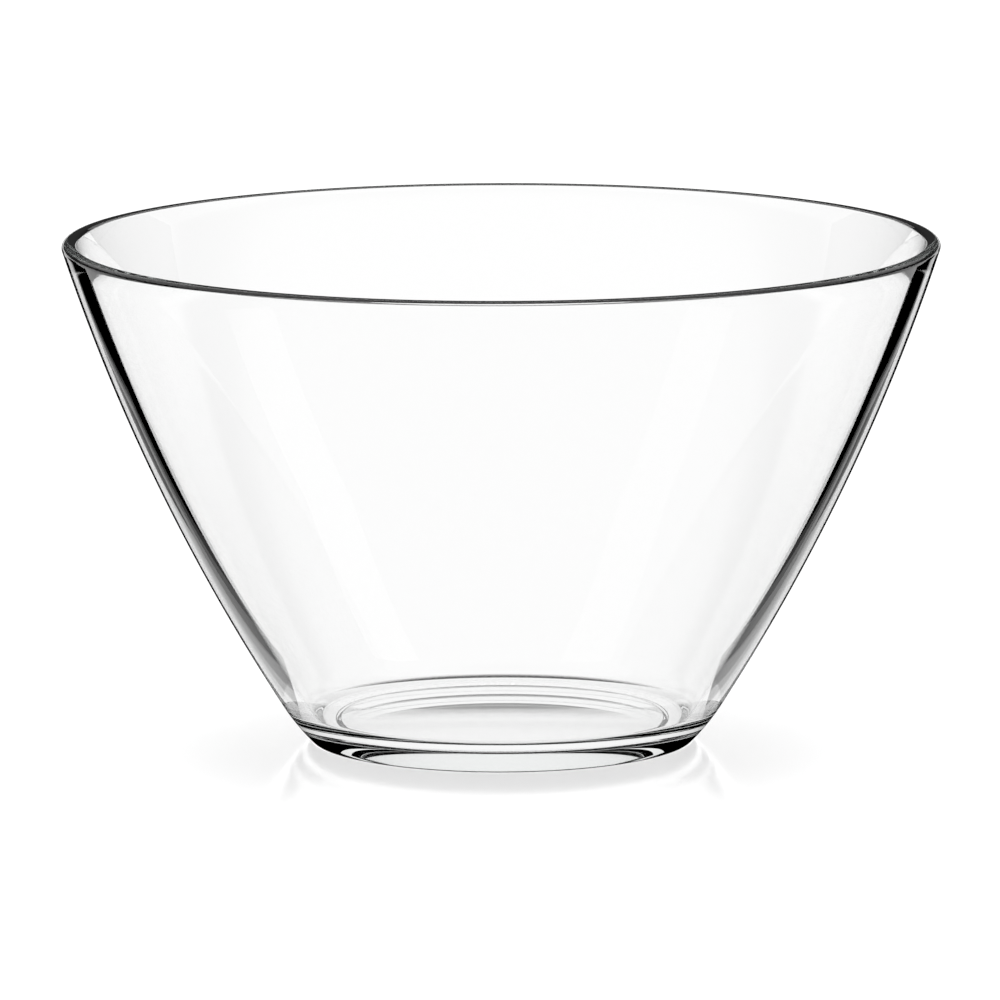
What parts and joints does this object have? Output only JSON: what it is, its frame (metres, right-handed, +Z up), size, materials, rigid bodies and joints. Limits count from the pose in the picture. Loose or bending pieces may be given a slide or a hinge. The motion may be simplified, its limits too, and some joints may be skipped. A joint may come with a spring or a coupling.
{
  "type": "glass salad bowl",
  "caption": "Deep clear pressed-glass salad bowl with a gently curved flaring wall, polished rim and a small flat foot, for serving and mixing salad.",
  "frame": {"origin": "centre of the foot ring, on the plane that the bowl stands on", "axes": "+Z up along the axis of revolution; X and Y are alike, because the bowl is round"},
  "size_m": [0.23, 0.23, 0.1325],
  "materials": {
    "clear_glass": "clear, pressed and fire-polished"
  },
  "bodies": {
    "root": {"bowl": "clear_glass"}
  },
  "joints": []
}
